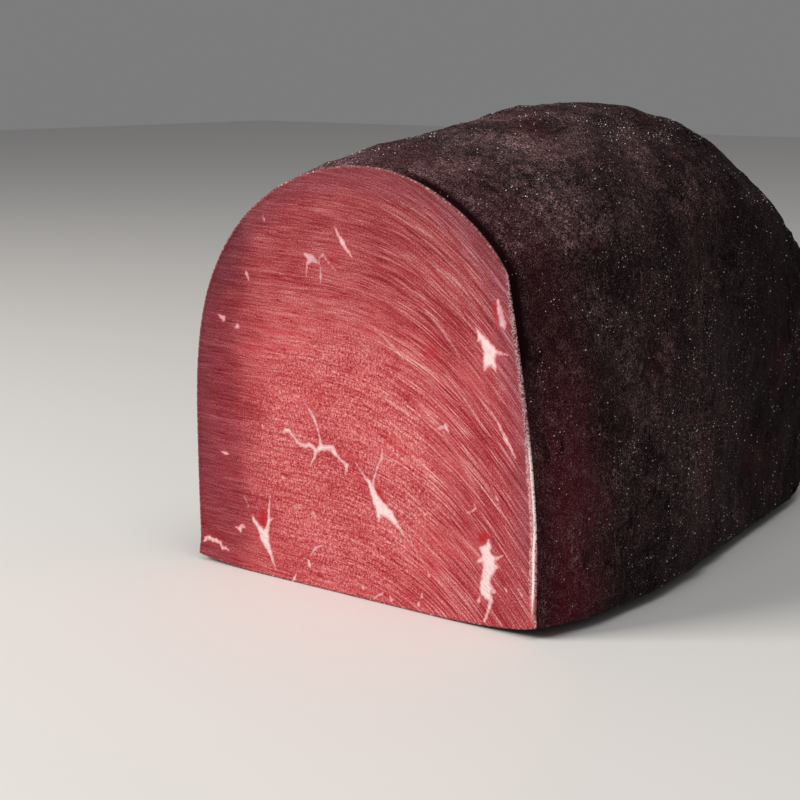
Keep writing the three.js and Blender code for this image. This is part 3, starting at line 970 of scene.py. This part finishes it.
# Display colours of the cut, from its darkest tone to its palest.
MEAT_COLOURS = [
    (0.14, (116, 10, 24)),
    (0.36, (159, 40, 50)),
    (0.52, (185, 79, 82)),
    (0.68, (206, 119, 119)),
    (0.90, (232, 174, 170)),
]
REDDER, DEEP_RED, HALO_RED = (182, 38, 46), (172, 22, 32), (176, 52, 60)
DRIED, FAINT_PINK = (150, 88, 94), (228, 176, 172)
FAT_THIN, FAT_BROAD, FAT_DULL = (208, 146, 148), (240, 212, 212), (184, 126, 138)
RIM_UPPER, RIM_LOWER = ((88, 48, 55), (190, 152, 154)), ((156, 92, 95), (216, 170, 168))
RIM_LINE, RIM_HEEL, RIM_GAP = (252, 236, 232), (168, 92, 86), (60, 22, 28)
SKIN_COLOURS = [(0.40, (78, 30, 34)), (0.58, (150, 96, 92)), (0.70, (214, 186, 176))]

# What darkens the meat, painted shade towards the top and the left and darker towards the right: from and
# to which height or x, and the factors for red, green and blue.
TOP_PAINTED_SHADE = [(58, 124, (0.64, 0.63, 0.66))]
LEFT_PAINTED_SHADES = [(-28, -60, (0.62, 0.49, 0.55)), (-43, -55, (0.80, 0.72, 0.82))]
RIGHT_SHADE = [(20, 66, (0.84, 0.86, 0.92))]
DRIED_SHADE = (0.80, 0.80, 0.88)
DRIED_UNEVEN, LEFT_UNEVEN = 9.0, 16.0  # how unevenly two of them begin, in millimetres


def meat_tone(s, noise, steep, granular):
    """How pale the meat is, from 0 to 1, and how strong its lines are."""
    line_share = s.plus(LINE_SHARE, steep, LINE_SHARE_STEEP)
    line_share = s.times(line_share, s.plus(1.0, granular, LINE_SHARE_GRANULAR))
    pale_share = s.plus(PALE_LINE_SHARE, steep, PALE_LINE_SHARE_STEEP)
    tone = s.vary(TONE_START, noise.lines, line_share)
    tone = s.plus(tone, s.times(s.span(noise.lines, *PALE_LINE_STEP), pale_share))
    tone = s.vary(tone, noise.threads, s.plus(THREAD_SHARE, steep, THREAD_SHARE_STEEP))
    tone = s.vary(tone, noise.grain, GRAIN_TONE)
    tone = s.vary(tone, noise.pebbles, s.plus(PEBBLE_TONE, granular, PEBBLE_TONE_GRANULAR))
    tone = s.plus(tone, s.span(noise.cracks, *CRACK_STEP), CRACK_TONE)
    tone = s.vary(tone, noise.bands, BAND_TONE)
    tone = s.vary(tone, noise.blotch, BLOTCH_TONE)
    return s.plus(tone, granular, GRANULAR_TONE), line_share


def lean_colour(s, tone, noise, across, height, gap):
    """The lean meat: darker towards the top and the left as painted shade, with a dried band along the
    edges.
    """
    meat = s.ramp(tone, MEAT_COLOURS)
    redder = s.times(s.span(noise.blotch, 0.50, 0.70), s.span(noise.bands, 0.42, 0.60))
    meat = s.tint(meat, REDDER, s.times(redder, 0.50))
    edge_gap = s.vary(gap, noise.edge, DRIED_UNEVEN)
    dried = s.times(s.span(edge_gap, 12, 1), s.span(height, 6, 40))
    meat = s.shade(meat, DRIED_SHADE, dried)
    meat = s.tint(meat, DRIED, s.times(dried, 0.22))
    # painted shade towards the top and the left, and darker towards the right
    uneven = s.vary(across, noise.edge, LEFT_UNEVEN)
    for place, shades in ((height, TOP_PAINTED_SHADE), (uneven, LEFT_PAINTED_SHADES), (across, RIGHT_SHADE)):
        for low, high, factors in shades:
            meat = s.shade(meat, factors, s.span(place, low, high))
    return meat


def marbled(s, meat, noise):
    """The meat with deep red beside the fat, faint pale lines and the fat, and the fat's share.

    The fat is pink where it is thin and paler in the middle of the broad places."""
    meat = s.tint(meat, DEEP_RED, s.math("MINIMUM", s.number("deep"), 0.9))
    shift = s.times(s.math("SUBTRACT", noise.fat_edge, 0.5), 1.3)
    faint = s.span(s.plus(s.number("faint"), shift), 0.4, -0.5)
    meat = s.tint(meat, FAINT_PINK, s.times(faint, 0.50))
    fat_edge = s.plus(s.number("fat"), shift)
    fat = s.span(fat_edge, 0.26, -0.20)
    core = s.times(s.span(fat_edge, -0.05, -0.95), s.span(noise.curds, 0.30, 0.52, 0.45, 1.0))
    fat_colour = s.mix(core, linear(*FAT_THIN), linear(*FAT_BROAD))
    fat_colour = s.tint(fat_colour, FAT_DULL, s.times(s.number("dull"), 0.65))
    meat = s.tint(meat, HALO_RED, s.times(s.span(s.number("fat"), 1.5, 0.1), 0.22))
    shows = s.times(fat, s.span(noise.lines, 0.34, 0.50, 0.86, 0.97))
    return s.mix(shows, meat, fat_colour), fat


def rimmed(s, colour, noise, height, gap):
    """The cut with its edges: the fat rim at the right, and a thin dull skin with crumbs elsewhere.

    The rim is grey and gritty above and pink below, where a bright line runs along it."""
    grit = noise.grit
    rim_shift = s.times(s.math("SUBTRACT", noise.fat_edge, 0.5), 1.7)
    on_rim = s.span(s.plus(s.number("rim"), rim_shift), -0.35, 0.45)
    upper = s.mix(s.span(grit, 0.38, 0.66), *(linear(*end) for end in RIM_UPPER))
    lower = s.mix(s.span(grit, 0.34, 0.66), *(linear(*end) for end in RIM_LOWER))
    rim_colour = s.mix(s.span(height, 62, 46), upper, lower)
    line_gap = s.span(height, 34, 25, 0.2, 1.0)
    off_line = s.math("SUBTRACT", s.plus(gap, rim_shift, 0.25), line_gap)
    on_line = s.span(s.math("ABSOLUTE", off_line), 0.62, 0.22)
    on_line = s.times(on_line, s.span(height, 64, 48), s.span(height, 5, 14))
    rim_colour = s.tint(rim_colour, RIM_LINE, on_line)
    heel = s.times(s.span(height, 17, 9), s.span(gap, 1.2, 0.5))
    rim_colour = s.tint(rim_colour, RIM_HEEL, s.times(heel, 0.75))
    colour = s.mix(s.times(on_rim, 0.88), colour, rim_colour)
    gaps = s.times(s.span(grit, 0.46, 0.36), s.span(gap, 0.7, 0.15))
    colour = s.tint(colour, RIM_GAP, s.times(gaps, on_rim, 0.75))
    skin = s.times(s.span(gap, 0.75, 0.1), s.math("SUBTRACT", 1.0, on_rim))
    return s.mix(s.times(skin, 0.80), colour, s.ramp(noise.crumbs, SKIN_COLOURS))


def meat_material():
    s = Shader("cut meat")
    fibre, spot = s.place("fibre"), s.place("spot")
    granular, gap = s.number("granular"), s.number("gap")
    across, height, _ = s.parts(spot)

    bend = s.noise(fibre, *MEAT_BEND, output=1)
    bent, pebble = s.moved(fibre, bend, FIBRE_BEND), s.moved(spot, bend, PEBBLE_BEND)
    noise = s.noises(MEAT_NOISE, fibre=bent, pebble=pebble, spot=spot)

    steep = s.span(across, STEEP_FROM, STEEP_TO)
    tone, line_share = meat_tone(s, noise, steep, granular)
    colour = lean_colour(s, tone, noise, across, height, gap)
    colour, fat = marbled(s, colour, noise)
    colour = rimmed(s, colour, noise, height, gap)

    gloss = s.vary(0.46, noise.grain, -0.5)
    relief = s.vary(noise.grain, noise.lines, line_share)
    relief = s.plus(relief, noise.pebbles, s.times(granular, 0.8))
    relief = s.times(relief, s.plus(1.0, fat, -0.8))
    s.set(Base_Color=colour, Roughness=s.between(fat, gloss, 0.42), Normal=s.bump(relief, 0.26, 0.9))
    s.set(Specular_IOR_Level=0.12)
    return s.material


# Noise of the rind: where it is read, its cell in millimetres, detail, roughness and seed.
RIND_BEND_NOISE = (18, 2.0, 0.5, 31)
RIND_NOISE = {
    "blotch": ("bent", 26, 3.0, 0.55, 33),
    "burgundy": ("bent", 38, 2.0, 0.5, 35),
    "bloom": ("bent", 17, 4.0, 0.6, 37),
    "strokes": ("bent", (1.0, 1.0, 5.0), 2.5, 0.6, 43),
    "curls": ("curled", (0.9, 3.2, 2.2), 3.0, 0.65, 47),
    "mottle": ("plain", 3.2, 3.0, 0.6, 39),
    "speckle": ("plain", 0.52, 1.0, 0.5, 41),
    "dots": ("plain", 0.46, 1.0, 0.5, 45),
}
RIND_BEND, CURL_BEND = 6.0, 9.0  # how far the noise is moved about, in millimetres
RIND_COLOURS = [(0.30, (8, 3, 4)), (0.50, (15, 6, 7)), (0.70, (28, 12, 13))]
# The bare colour is rind without dust, darkened as painted shadow behind the cut's edge; the groove colour
# is painted shade in the wrinkles' grooves.
RIND_RED, RIND_BARE_SHADOW, RIND_GROOVE_SHADE = (74, 12, 25), (26, 4, 8), (12, 5, 6)
DUST, FLECK, STREAK = (178, 138, 139), (186, 152, 154), (160, 132, 130)
RED_UNEVEN = 34.0  # how unevenly the burgundy beside the cut ends
# The dust on top is partly painted light, and the dust on the wrinkles' ridges partly a painted sheen.
DUST_EVERYWHERE, DUST_AND_LIGHT_ON_TOP, DUST_IN_BLOOM, DUST_AND_SHEEN_ON_WRINKLE = 0.036, 0.100, 0.34, 0.09


def rind_material():
    s = Shader("rind")
    place = s.millimetres()
    bend = s.noise(place, *RIND_BEND_NOISE, output=1)
    bent, curled = s.moved(place, bend, RIND_BEND), s.moved(place, bend, CURL_BEND)
    noise = s.noises(RIND_NOISE, plain=place, bent=bent, curled=curled)
    from_cut, wrinkle = s.number("from_cut"), s.number("wrinkle")
    across, _, height = s.parts(place)

    # burgundy beside the cut, more of it low down, and in a few patches
    base = s.ramp(noise.blotch, RIND_COLOURS)
    uneven = s.vary(from_cut, noise.blotch, RED_UNEVEN)
    beside = s.times(s.span(uneven, 38, 8), s.span(from_cut, 2, 9, 0.40, 1.0))
    beside = s.times(beside, s.span(height, 88, 42, 0.35, 0.90))
    patches = s.span(noise.burgundy, 0.55, 0.72, 0.0, 0.25)
    base = s.tint(base, RIND_RED, s.math("MAXIMUM", beside, patches))

    # dust: thicker on top, in the blooms and on the wrinkles, broken up into a fine grain. On upward
    # faces, fading away from the cut, it is also painted light, and on the wrinkles' ridges also a painted
    # sheen
    # painted light: upward faces are paler, less so away from the cut, drawn as dust
    upward = s.span(s.parts(s.node("ShaderNodeNewGeometry", output=1))[2], 0.05, 0.85)
    top_dust_and_light = s.times(upward, s.span(from_cut, 20, 120, 1.0, 0.42))
    dust = s.plus(DUST_EVERYWHERE, top_dust_and_light, DUST_AND_LIGHT_ON_TOP)
    dust = s.times(dust, s.span(noise.bloom, 0.38, 0.66, 0.45, 1.5))
    dust = s.plus(dust, s.times(s.number("bloom"), s.span(noise.curls, 0.42, 0.62)), DUST_IN_BLOOM)
    # painted sheen on the wrinkles' ridges and the knobs, drawn as dust
    dust = s.plus(dust, s.math("MAXIMUM", wrinkle, 0.0), DUST_AND_SHEEN_ON_WRINKLE)
    dust = s.times(dust, s.span(noise.mottle, 0.34, 0.70, 0.55, 1.4))
    dust = s.times(dust, s.span(noise.speckle, 0.43, 0.68, 0.20, 2.6))

    # a bare line behind the cut's upper right edge, darkened as painted shadow, and painted shade towards
    # the far end, drawn as less dust
    bare_and_lip_shadow = s.times(s.span(from_cut, 4.6, 2.2), s.span(across, 10, 26), s.span(height, 70, 82))
    kept_dust_and_far_shade = s.times(s.math("SUBTRACT", 1.0, bare_and_lip_shadow), s.span(from_cut, 95, 180, 1.0, 0.35))
    base = s.tint(base, RIND_BARE_SHADOW, s.times(bare_and_lip_shadow, 0.9))
    # less pale dust along the bare line, and less towards the far end as painted shade
    base = s.tint(base, DUST, s.times(dust, kept_dust_and_far_shade))
    flecks = s.times(s.span(noise.dots, 0.54, 0.68), s.span(noise.mottle, 0.36, 0.62, 0.40, 1.0))
    base = s.tint(base, FLECK, s.times(flecks, kept_dust_and_far_shade, 0.20))
    streaks = s.times(s.span(noise.strokes, 0.60, 0.68), s.span(noise.blotch, 0.44, 0.56))
    base = s.tint(base, STREAK, s.times(streaks, kept_dust_and_far_shade, 0.20))
    # painted shade in the wrinkles' grooves
    base = s.tint(base, RIND_GROOVE_SHADE, s.span(wrinkle, -0.1, -0.9, 0.0, 0.6))

    relief = s.vary(s.vary(noise.mottle, noise.speckle, 0.5), noise.strokes, 0.9)
    s.set(Base_Color=base, Roughness=s.span(noise.mottle, 0.35, 0.65, 0.58, 0.78))
    s.set(Normal=s.bump(relief, 0.7, 1.0), Specular_IOR_Level=0.03)
    return s.material


SALT_COLOURS = [(0.34, (84, 70, 67)), (0.47, (164, 150, 145)), (0.58, (248, 243, 238))]


def salt_material():
    """Salt from dull, half sunk grains to clean white ones."""
    s = Shader("salt")
    shade = s.noise(s.millimetres(), 1.1, detail=1.0, seed=51)
    s.set(Base_Color=s.ramp(shade, SALT_COLOURS), Roughness=0.55)
    return s.material


def plain_material(name, colour, rough):
    s = Shader(name)
    s.set(Base_Color=linear(*colour), Roughness=rough)
    return s.material


# ---- Salt and crumbs --------------------

SALT_COUNT = 14000
SALT_SMALLEST, SALT_LARGEST, SALT_POWER = 0.04, 0.16, 5  # half widths, and how rare the large ones are
SALT_SINK, CRUMB_SINK = 0.2, 0.1  # how deep grains sit, in half widths
GRAIN_UNEVEN = (0.7, 1.3)  # how far each corner of a grain lies from where a cube's would

# Salt lies in broad clusters broken up by fine ones: cells of noise, and the noise from which to which
# salt sets in. There is a little everywhere, and more in one place on the right wall.
SALT_BROAD, SALT_BROAD_STEP = 26.0, (-0.1, 0.7)
SALT_FINE, SALT_FINE_STEP = 7.0, (-0.2, 0.6)
SALT_EVERYWHERE = 0.06
SIDE_SALT = 0.9
SIDE_SALT_Y, SIDE_SALT_LONG, SIDE_SALT_Z, SIDE_SALT_HIGH = 88.0, 30.0, 40.0, 20.0
SIDE_SALT_SPAN, SIDE_SALT_STEP, SIDE_SALT_LEAST = 8.0, (-0.3, 0.6), 0.15
SALT_FROM_EDGE = 1.5  # no salt nearer the cut or the foot than this
BARE_TO_Y, BARE_FROM_X, BARE_SHARE = 6.0, 12.0, 0.8  # little behind the cut's right edge

CRUMB_COUNT = 70
CRUMBS_AT_CORNER, CRUMB_SPREAD = 8, 1.2
CRUMB_SMALLEST, CRUMB_VARIETY = 0.1, 0.22
CRUMB_Y, CRUMB_INSET = 0.35, 0.5  # behind the cut's foremost plane, and at most inside its outline


def make_grains(name, places, normals, sizes, sink, seed, material):
    """Small uneven cubes, each sunk a little into the surface that it sits on."""
    draw = np.random.default_rng(seed)
    cube = np.array(list(itertools.product((-1, 1), repeat=3)), float)
    sides = np.array([(0, 1, 3, 2), (4, 6, 7, 5), (0, 4, 5, 1), (2, 3, 7, 6), (0, 2, 6, 4), (1, 5, 7, 3)])
    count = len(places)
    axes = np.linalg.qr(draw.normal(size=(count, 3, 3)))[0]
    axes[np.linalg.det(axes) < 0] *= -1
    grow = sizes[:, None, None] * draw.uniform(*GRAIN_UNEVEN, (count, 8, 3))
    centre = places - normals * (sizes * sink)[:, None]
    points = centre[:, None] + np.einsum("cij,ckj->cki", axes, cube[None] * grow)
    faces = (sides[None] + 8 * np.arange(count)[:, None, None]).reshape(-1, 4)
    piece = make_mesh(name, inside_cad(points.reshape(-1, 3)), faces.tolist(), materials=[material])
    piece.data.shade_flat()
    return piece


def salt_weights(centre, area):
    """How much salt each cell of the rind holds, given the cells' middles and sizes."""
    x, y, z = centre.T
    broad = smooth(*SALT_BROAD_STEP, octaves(centre, SALT_BROAD, seed=301, gain=0.6))
    fine = smooth(*SALT_FINE_STEP, octaves(centre, SALT_FINE, seed=305, gain=0.7))
    side = np.exp(-(((y - SIDE_SALT_Y) / SIDE_SALT_LONG) ** 2) - ((z - SIDE_SALT_Z) / SIDE_SALT_HIGH) ** 2)
    broken = octaves(centre, SIDE_SALT_SPAN, seed=307, gain=0.7)
    side *= SIDE_SALT_LEAST + smooth(*SIDE_SALT_STEP, broken)
    weight = area * (SALT_EVERYWHERE + broad * fine + SIDE_SALT * side * (x > 0))
    weight *= (y > SALT_FROM_EDGE) & (z > SALT_FROM_EDGE)
    return weight * (1 - BARE_SHARE * (y < BARE_TO_Y) * (x > BARE_FROM_X))


def make_salt(rings, material):
    """Salt on the rind, given the rind's rings of points."""
    near, after = rings[:-1], np.roll(rings[:-1], -1, axis=1)
    far, far_after = rings[1:], np.roll(rings[1:], -1, axis=1)
    cells = [corner.reshape(-1, 3) for corner in (near, after, far_after, far)]
    normal = np.cross(cells[2] - cells[0], cells[3] - cells[1])
    area = np.linalg.norm(normal, axis=1)
    normal /= np.maximum(area, TINY)[:, None]
    weight = salt_weights(sum(cells) / 4, area)
    draw = np.random.default_rng(303)
    chosen = draw.choice(len(weight), SALT_COUNT, replace=False, p=weight / weight.sum())
    sizes = SALT_SMALLEST + (SALT_LARGEST - SALT_SMALLEST) * draw.random(SALT_COUNT) ** SALT_POWER
    a, b, c, d = (corner[chosen] for corner in cells)
    u, v = draw.random((SALT_COUNT, 1)), draw.random((SALT_COUNT, 1))
    places = (1 - v) * ((1 - u) * a + u * b) + v * ((1 - u) * d + u * c)
    return make_grains("ham_salt", places, normal[chosen], sizes, SALT_SINK, 305, material)


def make_crumbs(material):
    """Pale bits of meat and salt along the cut's edge: below, at the upper left and at two corners."""
    draw = np.random.default_rng(311)
    foot = draw.uniform(outline_place(FOOT_LEFT), outline_place(FOOT_RIGHT), CRUMB_COUNT // 2)
    arch = draw.uniform(outline_place(CROWN), outline_place(WALL_LEFT), CRUMB_COUNT // 3)
    corners = [
        outline_place(corner) + draw.normal(0, CRUMB_SPREAD, CRUMBS_AT_CORNER)
        for corner in (SHOULDER_RIGHT, HEEL_RIGHT)
    ]
    at = np.concatenate([foot, arch] + corners)
    sizes = CRUMB_SMALLEST + CRUMB_VARIETY * draw.random(len(at)) ** 2
    inset = sizes + draw.uniform(0, CRUMB_INSET, len(at))
    x, z = (cut_outline(at) - outward(at) * inset[:, None]).T
    places = stacked(x, CRUMB_Y + 0.5 * sizes, z)
    normals = np.tile((0.0, -1.0, 0.0), (len(at), 1))
    return make_grains("ham_crumbs", places, normals, sizes, CRUMB_SINK, 313, material)


# ---- The pieces --------------------

hidden = plain_material("hidden", (90, 40, 44), 0.8)
rind, rind_rings = make_rind([rind_material(), hidden])
cut = make_cut([meat_material(), hidden])
salt = make_salt(rind_rings, salt_material())
crumbs = make_crumbs(plain_material("crumbs", (226, 184, 174), 0.55))

for piece, slot in ((rind, "rind"), (cut, "cut_meat"), (salt, "salt"), (crumbs, "cut_meat")):
    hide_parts("beef_ham")
    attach(piece, "root")

# ---- Floor and light --------------------

FLOOR_Z, FLOOR_REACH = -0.2, 3000.0  # millimetres
FLOOR_COLOUR, FLOOR_ROUGHNESS = (226, 224, 221), 0.6
AIM = Vector(in_frame((16.6, 2.4, 63.6)))  # what the camera and the lights point at
KEY_PLACE, KEY_SIZE, KEY_POWER, KEY_COLOUR = (-0.80, -1.15, 0.85), 0.75, 27.0, (255, 250, 244)
TOP_PLACE, TOP_SIZE, TOP_POWER, TOP_COLOUR = (0.35, -0.25, 1.3), 0.8, 6.5, (255, 255, 255)
WORLD_COLOUR, WORLD_STRENGTH = (232, 232, 234), 0.25


def make_floor():
    low, high = -FLOOR_REACH, FLOOR_REACH
    points = stacked([low, high, high, low], [low, low, high, high], FLOOR_Z)
    material = plain_material("floor", FLOOR_COLOUR, FLOOR_ROUGHNESS)
    return make_mesh("floor", points, [(0, 1, 2, 3)], materials=[material])


def add_area(name, place, size, power, colour):
    """A square area light at place, in metres from the aim, turned to it."""
    light = bpy.data.lights.new(name, "AREA")
    light.shape, light.size, light.energy = "SQUARE", size, power
    light.color = linear(*colour)[:3]
    lamp = bpy.data.objects.new(name, light)
    bpy.context.scene.collection.objects.link(lamp)
    lamp.location = AIM + Vector(place)
    lamp.rotation_euler = Vector(place).to_track_quat("Z", "Y").to_euler()
    return lamp


make_floor()
add_area("key", KEY_PLACE, KEY_SIZE, KEY_POWER, KEY_COLOUR)
add_area("top", TOP_PLACE, TOP_SIZE, TOP_POWER, TOP_COLOUR)

world = bpy.context.scene.world or bpy.data.worlds.new("world")
bpy.context.scene.world = world
world.use_nodes = True
background = world.node_tree.nodes["Background"].inputs
background["Color"].default_value = linear(*WORLD_COLOUR)
background["Strength"].default_value = WORLD_STRENGTH
bpy.context.scene.view_settings.view_transform = "Standard"

# ---- Camera --------------------

CAMERA_AZIMUTH = math.radians(40.5)
CAMERA_PITCH = math.radians(10.4)
CAMERA_DISTANCE = 0.565  # metres
CAMERA_LENS, CAMERA_SENSOR = 85.0, 36.0

lens = bpy.data.cameras.new("camera")
lens.lens, lens.sensor_width = CAMERA_LENS, CAMERA_SENSOR
camera = bpy.data.objects.new("camera", lens)
bpy.context.scene.collection.objects.link(camera)
back = Vector(
    (
        math.sin(CAMERA_AZIMUTH) * math.cos(CAMERA_PITCH),
        -math.cos(CAMERA_AZIMUTH) * math.cos(CAMERA_PITCH),
        math.sin(CAMERA_PITCH),
    )
)
camera.location = AIM + CAMERA_DISTANCE * back
camera.rotation_euler = back.to_track_quat("Z", "Y").to_euler()
bpy.context.scene.camera = camera

# ---- End --------------------

bpy.context.view_layer.update()
